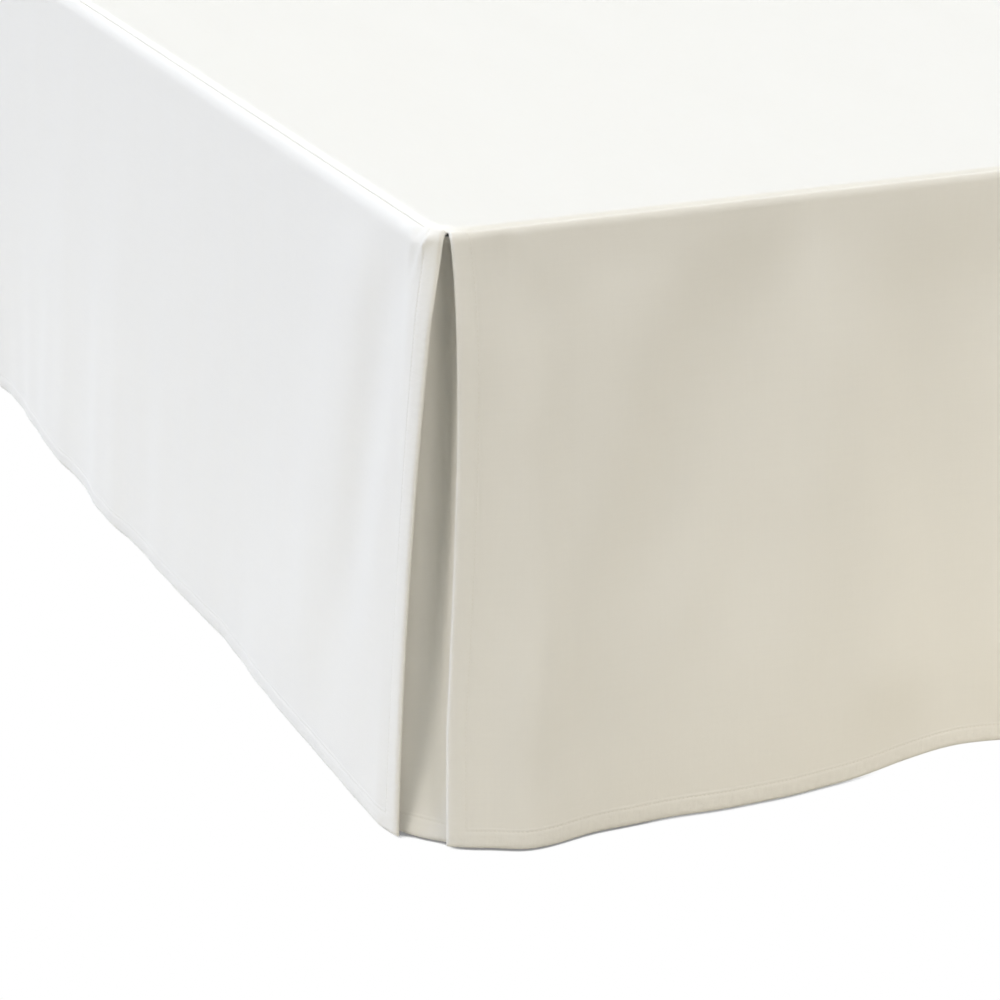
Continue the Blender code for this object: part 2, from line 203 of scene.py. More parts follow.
FOOT_PUCKERS = [Crease(*row) for row in (
    (-0.012, 0.002, -0.020, 0.030, 0.006, -0.0010),
    (-0.026, 0.002, -0.040, 0.040, 0.008, 0.0010),
)]

# How creases and slack begin below the seam, and how creases end at the hem
# and at their own ends.
SEAM_EASE = 0.055
CREASE_END = 0.006
CREASE_EASE = 0.070
CREASE_RAMP = 0.25

# Slack in the cloth: broad, low unevenness from waves of several lengths.
SLACK_HEIGHT = 0.0003
SLACK_WAVES = 14
SLACK_ACROSS = (0.035, 0.160)
SLACK_DOWN = (0.250, 0.900)
SLACK_SEED = 11


# ---------------------------------------------------------------- drape
def ease(value):
    """Ease from 0 to 1 while the value goes from 0 to 1."""
    value = np.clip(value, 0.0, 1.0)
    return value * value * (3.0 - 2.0 * value)


def hang_line(run):
    """Plan points of the hang line at runs, and the outward directions there."""
    side = np.where(run < 0.0, -1.0, 1.0)
    length = np.abs(run)
    angle = np.clip((length - FOOT_STRAIGHT) / HANG_CORNER_RADIUS, 0.0, pi / 2)
    outward = np.stack([side * np.sin(angle), -np.cos(angle)], axis=-1)
    along = np.minimum(length, FOOT_STRAIGHT) + HANG_CORNER_RADIUS * np.sin(angle)
    back = HANG_CORNER_RADIUS * (1.0 - np.cos(angle)) + np.maximum(length - SIDE_START, 0.0)
    point = np.stack([side * along, BED_CENTRE_Y - HANG_HALF_LENGTH + back], axis=-1)
    return point, outward


def foot_to_side(run, foot_value, side_value):
    """A size that eases from its foot value to its side value round a corner."""
    return foot_value + (side_value - foot_value) * ease((np.abs(run) - FOOT_STRAIGHT) / ARC_RUN)


def hem_reach(run):
    """How far outside the hang line the hem stands."""
    from_split = np.abs(np.abs(run) - FOOT_STRAIGHT - ARC_RUN * SPLIT_TURN)
    return HEM_REACH_AT_SPLIT + (HEM_REACH - HEM_REACH_AT_SPLIT) * ease(from_split / REACH_EASE)


def fold_sum(folds, along, hang):
    """Outward height and hem lift of a panel's folds."""
    height = np.zeros_like(along)
    lift = np.zeros_like(along)
    for fold in folds:
        centre = fold.top_run + (fold.hem_run - fold.top_run) * hang ** fold.bend
        offset = np.clip(np.abs(along - centre) / fold.half_width, 0.0, 1.0)
        swell = (1.0 + np.cos(pi * offset)) / 2
        fade = 1.0 - ease((hang - fold.ends + FADE_LENGTH) / FADE_LENGTH)
        height += fold.height * swell * ease(hang / fold.full) * fade
        lift += fold.lift * swell * hang
    return height, lift


def folds_at(run, hang):
    """Fold height and hem lift at runs, easing between panels round a corner."""
    foot = fold_sum(FOOT_FOLDS, run + FOOT_STRAIGHT, hang)
    left = fold_sum(LEFT_FOLDS, np.abs(run) - SIDE_START, hang)
    right = fold_sum(RIGHT_FOLDS, np.abs(run) - SIDE_START, hang)
    side = [np.where(run < 0.0, on_left, on_right) for on_left, on_right in zip(left, right)]
    return [foot_to_side(run, on_foot, on_side) for on_foot, on_side in zip(foot, side)]


def crease_sum(creases, run, fall):
    """Height of a panel's creases at runs past the straight of the foot."""
    total = np.zeros_like(run)
    for crease in creases:
        start = np.array((crease.from_run, crease.from_fall))
        line = np.array((crease.to_run, crease.to_fall)) - start
        from_start = np.stack([run, fall], axis=-1) - start
        share = from_start @ line / (line @ line)
        foot_point = np.clip(share, 0.0, 1.0)[..., None] * line
        offset = np.linalg.norm(from_start - foot_point, axis=-1) / crease.half_width
        swell = (1.0 + np.cos(pi * np.clip(offset, 0.0, 1.0))) / 2
        total += crease.height * swell * ease(np.minimum(share, 1.0 - share) / CREASE_RAMP)
    return total


def slack(run, fall):
    """Broad, low unevenness of hung cloth, longer down the drop than across it."""
    chance = np.random.default_rng(SLACK_SEED)
    total = np.zeros_like(run)
    for _ in range(SLACK_WAVES):
        across = 2 * pi / chance.uniform(*SLACK_ACROSS)
        down = 2 * pi / chance.uniform(*SLACK_DOWN) * chance.choice((-1.0, 1.0))
        total += np.sin(run * across + fall * down + chance.uniform(0.0, 2 * pi))
    return SLACK_HEIGHT * total / SLACK_WAVES ** 0.5


Rows = namedtuple("Rows", "roll hang")


def cloth_points(run, rows, relief, behind_seam=0.0, behind=0.0):
    """Points of the hanging cloth at runs by rows, raised by a relief off its surface."""
    inboard = foot_to_side(run, SEAM_INBOARD_FOOT, SEAM_INBOARD_SIDE)
    roll_drop = foot_to_side(run, ROLL_DROP_FOOT, ROLL_DROP_SIDE)
    height, lift = folds_at(run, rows.hang)
    turn = np.radians(rows.roll)
    from_seam = (inboard - behind) * np.sin(turn)
    groove = SEAM_GROOVE_DEPTH * (1.0 - ease(from_seam / SEAM_GROOVE_WIDTH)) * (rows.hang == 0.0)
    out = from_seam - inboard + hem_reach(run) * rows.hang + height + relief * np.sin(turn)
    fall = behind_seam + (roll_drop - behind_seam) * (1.0 - np.cos(turn)) + groove
    fall = fall + (SEAM_HEIGHT - roll_drop - HEM_HEIGHT) * rows.hang - relief * np.cos(turn)
    point, outward = hang_line(run)
    plan = point + outward * out[..., None]
    return np.concatenate([plan, (SEAM_HEIGHT - fall + lift)[..., None]], axis=-1)


def foot_edge(side, hang):
    """Run of the foot panel's edge at a split."""
    split = SPLITS[side]
    bow = np.sin(pi * np.minimum(hang / FOOT_BOW_END, 1.0) ** FOOT_BOW_POWER)
    return side * (FOOT_STRAIGHT + split.foot_edge - split.foot_bow * bow)


def side_edge(side, hang):
    """Run of a side panel's edge at its split."""
    split = SPLITS[side]
    swing = 1.0 - (1.0 - hang) ** SIDE_SWING_POWER
    return side * (FOOT_STRAIGHT + split.side_edge + split.side_swing * swing)


def edge_shift(run, hang, edge, side):
    """How far runs move with a panel's split edge, easing out into the panel.

    Near the edge the runs are drawn together too, because the cloth stands
    outside the corner's arc, and a hem keeps its width there.
    """
    start = edge(side, 0.0)
    from_edge = np.abs(run - start)
    flare = HEM_REACH_AT_SPLIT * hang / (HANG_CORNER_RADIUS + HEM_REACH_AT_SPLIT * hang)
    drawn = np.sign(start - run) * np.minimum(from_edge, EDGE_HOLD) * flare
    return (edge(side, hang) - start + drawn) * (1.0 - ease(from_edge / EDGE_PULL))


# ---------------------------------------------------------------- sheets
# Places for a sheet's lines, back from a hem's edge and round the roll, the
# steps between the others, and the rows of the roll that take no stitches.
HEM_MARKS = (0.0, 0.0005, 0.0012, 0.0020, 0.0030, 0.0060, 0.0090, 0.0102, 0.0108, 0.0113, 0.0118,
             0.0124, 0.0131, 0.0140, 0.0160, 0.0190)
ROLL_ANGLES = (0.0, 4.0, 8.0, 12.0, 17.0, 23.0, 30.0, 38.0, 47.0, 56.0, 65.0, 74.0, 82.0, 90.0)
PANEL_FINE_STEP = 0.0025
PANEL_COARSE_STEP = 0.0070
PANEL_STEP_GROWTH = 0.03
PANEL_ROW_STEP = 0.0055
INSET_STEP = 0.0035
STITCH_LINE_STEP = 0.003
UNSEWN_ROWS = 2


def even_steps(start, end, step):
    """Places from start to end, both kept, about a step apart."""
    return np.linspace(start, end, max(int(round((end - start) / step)), 1) + 1)


def hemmed_places(length):
    """Places across a panel hemmed at both ends, close together at its hems."""
    marks = np.array(HEM_MARKS)
    middle = [marks[-1]]
    while middle[-1] < length - marks[-1]:
        from_end = min(middle[-1], length - middle[-1])
        step = min(PANEL_FINE_STEP + PANEL_STEP_GROWTH * from_end, PANEL_COARSE_STEP)
        middle.append(middle[-1] + step)
    spread = (length - 2 * marks[-1]) / (middle[-1] - marks[-1])
    inner = marks[-1] + (np.array(middle) - marks[-1]) * spread
    return np.concatenate([marks[:-1], inner, (length - marks[:-1])[::-1]])


def panel_rows(step):
    """Rows from the seam over the roll and down to the hem."""
    above_hem = even_steps(0.0, HANG_LENGTH - HEM_MARKS[-1], step)
    hem = HANG_LENGTH - np.array(HEM_MARKS[:-1])[::-1]
    hang = np.concatenate([above_hem, hem]) / HANG_LENGTH
    roll = np.array(ROLL_ANGLES[:-1])
    return Rows(np.concatenate([roll, np.full(len(hang), 90.0)]),
                np.concatenate([np.zeros(len(roll)), hang]))


def hem_relief(from_hem):
    """Height of a hem's fold, its stitched dip and its rounded edge."""
    past_step = from_hem - HEM_WIDTH + HEM_STEP_WIDTH / 2
    fold = HEM_STEP * (1.0 - ease(past_step / HEM_STEP_WIDTH))
    dip = STITCH_DIP * np.exp(-((from_hem - STITCH_INSET) / STITCH_DIP_WIDTH) ** 2)
    edge = FOLD_EDGE_ROUND * np.maximum(1.0 - from_hem / FOLD_EDGE_WIDTH, 0.0) ** 2
    return fold - dip - edge


def cloth_sheet(name, points, flat_place, from_hem, finish):
    """A thin closed sheet through a grid of points, thicker along its hems."""
    across, down = points.shape[0] - 1, points.shape[1] - 1
    grid = bmesh.new()
    bmesh.ops.create_grid(grid, x_segments=across, y_segments=down, size=0.5)
    mesh = bpy.data.meshes.new(name)
    grid.to_mesh(mesh)
    grid.free()
    flat = np.empty(len(mesh.vertices) * 3)
    mesh.vertices.foreach_get("co", flat)
    flat = flat.reshape(-1, 3)
    column = np.rint((flat[:, 0] + 0.5) * across).astype(int)
    row = np.rint((0.5 - flat[:, 1]) * down).astype(int)
    mesh.vertices.foreach_set("co", points[column, row].ravel())
    corner = np.empty(len(mesh.loops), dtype=np.int32)
    mesh.loops.foreach_get("vertex_index", corner)
    uv = mesh.uv_layers.new(name="cloth")
    uv.data.foreach_set("uv", flat_place[column, row][corner].ravel())
    distance = mesh.attributes.new("from_hem", "FLOAT", "POINT")
    distance.data.foreach_set("value", from_hem[column, row])
    mesh.shade_smooth()
    mesh.materials.append(finish)
    sheet = bpy.data.objects.new(name, mesh)
    bpy.context.scene.collection.objects.link(sheet)
    hem = sheet.vertex_groups.new(name="hem")
    hem.add(np.flatnonzero(from_hem[column, row] < HEM_WIDTH).tolist(), 1.0, "REPLACE")
    solid = sheet.modifiers.new("cloth thickness", "SOLIDIFY")
    solid.thickness = HEMMED_CLOTH
    solid.offset = -1.0
    solid.vertex_group = hem.name
    solid.thickness_vertex_group = SINGLE_CLOTH / HEMMED_CLOTH
    return sheet


def dress(piece, node):
    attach(piece, "root")
    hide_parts(node)


# ---------------------------------------------------------------- panels
Panel = namedtuple("Panel", "name first last edges creases puckers")


def panel_surface(panel, across, rows):
    """Points, flat places and distances from a hem, for places across a panel by rows."""
    length = panel.last - panel.first
    along = np.repeat(across[:, None], len(rows.hang), axis=1)
    hang = np.repeat(rows.hang[None, :], len(across), axis=0)
    unmoved = panel.first + along
    open_from_seam = ROLL_OPENING * (1.0 - np.cos(np.radians(rows.roll)))
    opening = hang + open_from_seam * (1.0 - hang)
    run = unmoved + sum(edge_shift(unmoved, opening, edge, side) for edge, side in panel.edges)
    roll_drop = foot_to_side(run, ROLL_DROP_FOOT, ROLL_DROP_SIDE)
    fall = roll_drop * (1.0 - np.cos(np.radians(rows.roll))) + (SEAM_HEIGHT - roll_drop) * hang
    from_hem = np.minimum(np.minimum(along, length - along), (1.0 - hang) * HANG_LENGTH)
    past_foot = np.abs(run) - FOOT_STRAIGHT
    above_hem = (SEAM_HEIGHT - fall - CREASE_END) / CREASE_EASE
    uneven = slack(run, fall) + crease_sum(panel.creases, past_foot, fall) * ease(above_hem)
    uneven *= ease(fall / SEAM_EASE)
    for edge, side in panel.edges:
        from_edge = np.abs(unmoved - edge(side, 0.0)) / EDGE_LIFT_WIDTH
        lift = SIDE_EDGE_LIFT if edge is side_edge else FOOT_EDGE_LIFT
        lift = lift * (1.0 + (EDGE_LIFT_AT_HEM - 1.0) * hang)
        uneven += lift * np.maximum(1.0 - from_edge, 0.0) ** 2 * ease(fall / EDGE_LIFT_DROP)
    uneven += crease_sum(panel.puckers, past_foot, fall)
    points = cloth_points(run, Rows(rows.roll[None, :], hang), hem_relief(from_hem) + uneven)
    return points, np.stack([along, -fall], axis=-1), from_hem


def panel_stitches(panel):
    """Lines of points for a panel's stitches, along its hem and down its two ends."""
    length = panel.last - panel.first
    bottom = Rows(np.array([90.0]), np.array([1.0 - STITCH_INSET / HANG_LENGTH]))
    fine = panel_rows(STITCH_LINE_STEP)
    above = fine.hang <= bottom.hang[0]
    down = Rows(fine.roll[above][UNSEWN_ROWS:], fine.hang[above][UNSEWN_ROWS:])
    across = even_steps(STITCH_INSET, length - STITCH_INSET, STITCH_LINE_STEP)
    lines = [panel_surface(panel, across, bottom)[0][:, 0]]
    for place in (STITCH_INSET, length - STITCH_INSET):
        lines.append(panel_surface(panel, np.array([place]), down)[0][0])
    return lines


def stitching(name, lines, finish):
    """Stitches sunk in the cloth along lines of points, joined in one mesh."""
    sewn = bmesh.new()
    for line in lines:
        steps = np.linalg.norm(np.diff(line, axis=0), axis=1)
        along = np.concatenate([[0.0], np.cumsum(steps)])
        centres = np.arange(STITCH_PITCH / 2, along[-1], STITCH_PITCH)
        ahead = centres + STITCH_LENGTH / 2
        behind = centres - STITCH_LENGTH / 2
        ends = [np.stack([np.interp(at, along, line[:, axis]) for axis in range(3)], axis=-1)
                for at in (behind, ahead)]
        for start, end in zip(*ends):
            start, end = Vector(start), Vector(end)
            turn = (end - start).to_track_quat("X", "Z").to_matrix().to_4x4()
            size = Matrix.Diagonal((STITCH_LENGTH / 2, STITCH_RADIUS, STITCH_RADIUS, 1.0))
            place = Matrix.Translation((start + end) / 2) @ turn @ size
            bmesh.ops.create_icosphere(sewn, subdivisions=1, radius=1.0, matrix=place)
    mesh = bpy.data.meshes.new(name)
    sewn.to_mesh(mesh)
    sewn.free()
    mesh.shade_smooth()
    mesh.materials.append(finish)
    thread = bpy.data.objects.new(name, mesh)
    bpy.context.scene.collection.objects.link(thread)
    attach(thread, "root")
    return thread


def make_panel(panel, node, finish, thread):
    """A hemmed panel with its stitching."""
    length = panel.last - panel.first
    across = hemmed_places(length)
    points, flat_place, from_hem = panel_surface(panel, across, panel_rows(PANEL_ROW_STEP))
    sheet = cloth_sheet(panel.name, points, flat_place, from_hem, finish)
    sewn = stitching(panel.name + "_stitching", panel_stitches(panel), thread)
    dress(sheet, node)


def make_inset(name, node, side, finish, thread):
    """The panel behind a split, folded round the corner, sunk back inside the opening."""
    middle = side * (FOOT_STRAIGHT + ARC_RUN / 2)
    rows = panel_rows(PANEL_ROW_STEP)
    across = even_steps(-INSET_HALF_WIDTH, INSET_HALF_WIDTH, INSET_STEP)
    run = np.repeat(middle + across[:, None], len(rows.hang), axis=1)
    hang = np.repeat(rows.hang[None, :], len(across), axis=0)
    on_side, on_foot = side_edge(side, hang), foot_edge(side, hang)
    deepest = on_foot + (on_side - on_foot) * INSET_DEEPEST
    edge = np.where(np.abs(run) > np.abs(deepest), on_side, on_foot)
    from_deepest = np.abs(run - deepest) / (np.abs(edge - deepest) + HEM_WIDTH)
    inside = 1.0 - ease((from_deepest - INSET_FLAT_SHARE) / (1.0 - INSET_FLAT_SHARE))
    recess = (INSET_RECESS_TOP + (INSET_RECESS_HEM - INSET_RECESS_TOP) * hang) * inside
    low_hollow = 1.0 - np.abs(2.0 * hang - 1.0) ** INSET_HOLLOW_POWER
    hollow = np.where(hang < 0.5, np.sin(pi * hang), low_hollow)
    recess = recess + INSET_HOLLOW * hollow * inside
    sunk = recess * ease(rows.roll / 90.0)
    from_hem = (1.0 - hang) * HANG_LENGTH
    points = cloth_points(run, Rows(rows.roll[None, :], hang), hem_relief(from_hem),
                          INSET_BEHIND_SEAM, INSET_BEHIND + sunk)
    fall = ROLL_DROP_FOOT * (1.0 - np.cos(np.radians(rows.roll))) + SEAM_HEIGHT * hang
    flat_place = np.stack([run, -fall], axis=-1)
    sheet = cloth_sheet(name, points, flat_place, from_hem, finish)
    stitched = np.argmin(np.abs(from_hem[0] - STITCH_INSET))
    sewn = stitching(name + "_stitching", [points[:, stitched]], thread)
    dress(sheet, node)


# ---------------------------------------------------------------- deck
# Places for the grid's lines back from the seam, the cloth's height and slack.
SEAM_MARKS = (0.0, 0.0006, 0.0012, 0.0018, 0.0026, 0.0040, 0.0070, 0.0120, 0.0180, 0.0250, 0.0350)
DECK_STEP = 0.024
DECK_TOP = 0.3826
DECK_GAP = 0.0003
DECK_SLACK = 1.2
DECK_SLACK_EASE = 0.05


def seam_distance(plan):
    """How far plan points lie inside the seam round the deck."""
    past_side = np.abs(plan[..., 0]) - FOOT_STRAIGHT
    past_foot = BED_CENTRE_Y - HANG_HALF_LENGTH + HANG_CORNER_RADIUS - plan[..., 1]
    outer = np.hypot(np.maximum(past_side, 0.0), np.maximum(past_foot, 0.0))
    beyond = outer + np.minimum(np.maximum(past_side, past_foot), 0.0)
    turn = np.arctan2(np.maximum(past_side, 0.0), np.maximum(past_foot, 0.0)) / (pi / 2)
    inboard = SEAM_INBOARD_FOOT + (SEAM_INBOARD_SIDE - SEAM_INBOARD_FOOT) * ease(turn)
    return HANG_CORNER_RADIUS - beyond - inboard


def deck_border(run):
    """Plan points of the deck's sewn edge at runs."""
    point, outward = hang_line(run)
    inboard = foot_to_side(run, SEAM_INBOARD_FOOT, SEAM_INBOARD_SIDE)
    return point - outward * (inboard + DECK_GAP)[..., None]


def shares(length, first_marks, last_marks):
    """Shares of a length, close together at its ends."""
    middle = even_steps(first_marks[-1], length - last_marks[-1], DECK_STEP)
    ends = length - np.array(last_marks[:-1])[::-1]
    return np.concatenate([first_marks[:-1], middle, ends]) / length


def make_deck(finish, thread):
    """The flat cloth on the base, sewn to the panels on three sides and hemmed at the head."""
    corner = FOOT_STRAIGHT + ARC_RUN / 2
    across = shares(2 * corner, SEAM_MARKS, SEAM_MARKS)
    back = shares(HEAD_RUN - corner, SEAM_MARKS, HEM_MARKS)
    foot = deck_border((across - 0.5) * 2 * corner)
    left = deck_border(-corner - back * (HEAD_RUN - corner))
    right = deck_border(corner + back * (HEAD_RUN - corner))
    head = left[-1] + (right[-1] - left[-1]) * across[:, None]
    rightward, headward = np.meshgrid(across, back[::-1], indexing="ij")
    rightward, headward = rightward[..., None], headward[..., None]
    leftward, footward = 1.0 - rightward, 1.0 - headward
    plan = (footward * foot[:, None] + headward * head[:, None]
            + leftward * left[::-1][None] + rightward * right[::-1][None]
            - leftward * (footward * left[0] + headward * left[-1])
            - rightward * (footward * right[0] + headward * right[-1]))
    from_seam = seam_distance(plan)
    from_hem = left[-1][1] - plan[..., 1]
    groove = SEAM_GROOVE_DEPTH * (1.0 - ease(from_seam / SEAM_GROOVE_WIDTH))
    inside = ease(from_seam / DECK_SLACK_EASE) * ease(from_hem / DECK_SLACK_EASE)
    loose = DECK_SLACK * slack(plan[..., 0], plan[..., 1]) * inside
    height = DECK_TOP - groove + loose + hem_relief(from_hem)
    points = np.concatenate([plan, height[..., None]], axis=-1)
    sheet = cloth_sheet("skirt_deck", points, plan, np.maximum(from_hem, 0.0), finish)
    stitched = np.argmin(np.abs(from_hem[0] - STITCH_INSET))
    sewn = stitching("skirt_deck_stitching", [points[:, stitched]], thread)
    dress(sheet, "deck")


# ---------------------------------------------------------------- base and legs
BASE_DEPTH = 0.203
BASE_TOP = 0.3797
BASE_CORNER_RADIUS = 0.060
BASE_EDGE_RADIUS = 0.010
BASE_CORNER_STEPS = 16
BASE_EDGE_STEPS = 5
LEVEL_FACE = 0.9


def rounded(shape, edges, radius, steps):
    """Round edges of a bmesh with a radius."""
    bmesh.ops.bevel(shape, geom=edges, offset=radius, offset_type="OFFSET", affect="EDGES",
                    segments=steps, profile=0.5, material=-1)


def level_edges(shape):
    """Edges of a bmesh round its top and bottom faces."""
    ends = [face for face in shape.faces if abs(face.normal.z) > LEVEL_FACE]
    return [edge for face in ends for edge in face.edges]


def solid_object(name, shape, finish):
    """A shaded object from a finished bmesh, its faces outwards."""
    bmesh.ops.recalc_face_normals(shape, faces=shape.faces)
    mesh = bpy.data.meshes.new(name)
    shape.to_mesh(mesh)
    shape.free()
    mesh.shade_smooth()
    mesh.materials.append(finish)
    made = bpy.data.objects.new(name, mesh)
    bpy.context.scene.collection.objects.link(made)
    return made


def make_base(finish):
    """The plain upholstered bed base with rounded corners and edges."""
    shape = bmesh.new()
    middle = Matrix.Translation((0.0, BED_CENTRE_Y, BASE_TOP - BASE_DEPTH / 2))
    size = Matrix.Diagonal((BED_WIDTH, BED_LENGTH, BASE_DEPTH, 1.0))
    bmesh.ops.create_cube(shape, size=1.0, matrix=middle @ size)
    upright = [edge for edge in shape.edges
               if abs(edge.verts[0].co.z - edge.verts[1].co.z) > BASE_DEPTH / 2]
    rounded(shape, upright, BASE_CORNER_RADIUS, BASE_CORNER_STEPS)
    rounded(shape, level_edges(shape), BASE_EDGE_RADIUS, BASE_EDGE_STEPS)
    base = solid_object("bed_base_upholstered", shape, finish)
    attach(base, "root")
    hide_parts("bed_base")


# A leg's outline, radius and height: up from the floor, and down from its top.
LEG_COUNT = 6
LEG_STEPS = 40
LEG_MERGE = 0.00005
LEG_FOOT = ((0.0, 0.0), (0.0200, 0.0), (0.0216, 0.0005), (0.0220, 0.0020))
LEG_HEAD = ((0.0292, -0.0110), (0.0292, -0.0098), (0.0300, -0.0090), (0.0300, -0.0008),
            (0.0294, -0.0002), (0.0, 0.0))


def make_leg(node, finish):
    """A turned, tapered leg with a flat plate at its top."""
    low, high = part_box(node)
    centre = (low + high) / 2
    profile = [(radius, low.z + height) for radius, height in LEG_FOOT]
    profile += [(radius, high.z + drop) for radius, drop in LEG_HEAD]
    shape = bmesh.new()
    outline = [shape.verts.new((centre.x + radius, centre.y, height)) for radius, height in profile]
    for lower, upper in zip(outline, outline[1:]):
        shape.edges.new((lower, upper))
    bmesh.ops.spin(shape, geom=shape.verts[:] + shape.edges[:], cent=centre, axis=(0.0, 0.0, 1.0),
                   angle=2 * pi, steps=LEG_STEPS, use_merge=True)
    bmesh.ops.remove_doubles(shape, verts=shape.verts, dist=LEG_MERGE)
    leg = solid_object(node.replace("leg", "turned_leg"), shape, finish)
    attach(leg, "root")
    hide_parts(node)


# ---------------------------------------------------------------- finishes
PLAIN_SPECULAR = 0.25
COTTON_ROUGHNESS = 0.88
THREAD_ROUGHNESS = 0.7
TICKING_ROUGHNESS = 0.85
WOOD_ROUGHNESS = 0.42

# The weave's threads, and the slubs that run along them.
THREAD_PITCH = 0.00045
THREAD_HEIGHT = 0.00003
SLUB_FINE = 900.0
SLUB_LONG = 22.0
SLUB_HEIGHT = 0.00004
SLUB_SHADE = 0.020

# Small puckers along the stitched hems.
PUCKER_REACH = 0.018
PUCKER_SCALE = (150.0, 150.0, 1.0)
PUCKER_DETAIL = 3.0
PUCKER_HEIGHT = 0.0008

# The wood's grain, fine across the leg and long up it.
GRAIN_SCALE = (260.0, 260.0, 9.0)
GRAIN_DETAIL = 4.0
GRAIN_SHADE = 0.7
GRAIN_DARKEST = 0.65
GRAIN_HEIGHT = 0.0002


def node_tree(name, inputs, outputs):
    """An empty node group with its sockets, and its input and output nodes."""
    tree = bpy.data.node_groups.new(name, "ShaderNodeTree")
    for kind, sockets in (("INPUT", inputs), ("OUTPUT", outputs)):
        for socket, form in sockets:
            tree.interface.new_socket(socket, in_out=kind, socket_type="NodeSocket" + form)
    return tree, tree.nodes.new("NodeGroupInput"), tree.nodes.new("NodeGroupOutput")


def math_node(tree, operation, first, second=0.0, clamp=False):
    """The output of a math node on sockets or numbers."""
    node = tree.nodes.new("ShaderNodeMath")
    node.operation = operation
    node.use_clamp = clamp
    for socket, value in zip(node.inputs, (first, second)):
        if isinstance(value, (int, float)):
            socket.default_value = value
        else:
            tree.links.new(value, socket)
    return node.outputs["Value"]


def vector_node(tree, operation, first, second=None):
    """The vector output of a vector math node on sockets or plain vectors."""
    node = tree.nodes.new("ShaderNodeVectorMath")
    node.operation = operation
    tree.links.new(first, node.inputs[0])
    if isinstance(second, tuple):
        node.inputs[1].default_value = second
    elif second:
        tree.links.new(second, node.inputs[1])
    return node.outputs["Vector"]


def streaks(tree, place, scale, detail=2.0):
    """Noise between 0 and 1, stretched by its scale on each axis."""
    mapping = tree.nodes.new("ShaderNodeMapping")
    mapping.inputs["Scale"].default_value = scale
    noise = tree.nodes.new("ShaderNodeTexNoise")
    noise.inputs["Scale"].default_value = 1.0
    noise.inputs["Detail"].default_value = detail
    tree.links.new(place, mapping.inputs["Vector"])
    tree.links.new(mapping.outputs["Vector"], noise.inputs["Vector"])
    return noise.outputs["Fac"]


def weave_group():
    """Plain weave with slubs: a height in metres and a shade about 1."""
    tree, into, out = node_tree("plain_weave", [("Place", "Vector")],
                                [("Height", "Float"), ("Shade", "Float")])
    split = tree.nodes.new("ShaderNodeSeparateXYZ")
    tree.links.new(into.outputs["Place"], split.inputs["Vector"])
    turns = [math_node(tree, "MULTIPLY", split.outputs[axis], 2 * pi / THREAD_PITCH) for axis in "XY"]
    weave = math_node(tree, "MULTIPLY", *[math_node(tree, "SINE", turn) for turn in turns])
    warp = streaks(tree, into.outputs["Place"], (SLUB_FINE, SLUB_LONG, 1.0))
    weft = streaks(tree, into.outputs["Place"], (SLUB_LONG, SLUB_FINE, 1.0))
    slub = math_node(tree, "SUBTRACT", math_node(tree, "ADD", warp, weft), 1.0)
    height = math_node(tree, "ADD", math_node(tree, "MULTIPLY", weave, THREAD_HEIGHT),
                  math_node(tree, "MULTIPLY", slub, SLUB_HEIGHT))
    tree.links.new(height, out.inputs["Height"])
    shade = math_node(tree, "ADD", math_node(tree, "MULTIPLY", slub, SLUB_SHADE), 1.0)
    tree.links.new(shade, out.inputs["Shade"])
    return tree


def pucker_group():
    """Small puckers along stitched hems: a height in metres."""
    tree, into, out = node_tree("hem_pucker", [("Place", "Vector"), ("From Hem", "Float")],
                                [("Height", "Float")])
    away = math_node(tree, "DIVIDE", into.outputs["From Hem"], PUCKER_REACH)
    near = math_node(tree, "SUBTRACT", 1.0, away, True)
    crinkle = streaks(tree, into.outputs["Place"], PUCKER_SCALE, PUCKER_DETAIL)
    centred = math_node(tree, "SUBTRACT", crinkle, 0.5)
    height = math_node(tree, "MULTIPLY", math_node(tree, "MULTIPLY", centred, near), PUCKER_HEIGHT)
    tree.links.new(height, out.inputs["Height"])
    return tree


def principled(name, colour, roughness):
    """A material and its shader, with a plain colour and roughness."""
    made = bpy.data.materials.new(name)
    made.use_nodes = True
    made.diffuse_color = (*colour, 1.0)
    shader = made.node_tree.nodes["Principled BSDF"]
    shader.inputs["Base Color"].default_value = (*colour, 1.0)
    shader.inputs["Roughness"].default_value = roughness
    shader.inputs["Specular IOR Level"].default_value = PLAIN_SPECULAR
    return made, shader


def shaded_colour(tree, shade, colour, shader):
    """Feed the shader a colour multiplied by a shade about 1."""
    scale = tree.nodes.new("ShaderNodeVectorMath")
    scale.operation = "SCALE"
    scale.inputs[0].default_value = colour
    tree.links.new(shade, scale.inputs["Scale"])
    tree.links.new(scale.outputs["Vector"], shader.inputs["Base Color"])


def bumped(tree, height, shader):
    """Feed the shader a normal bumped by a height in metres."""
    bump = tree.nodes.new("ShaderNodeBump")
    bump.inputs["Distance"].default_value = 1.0
    tree.links.new(height, bump.inputs["Height"])
    tree.links.new(bump.outputs["Normal"], shader.inputs["Normal"])


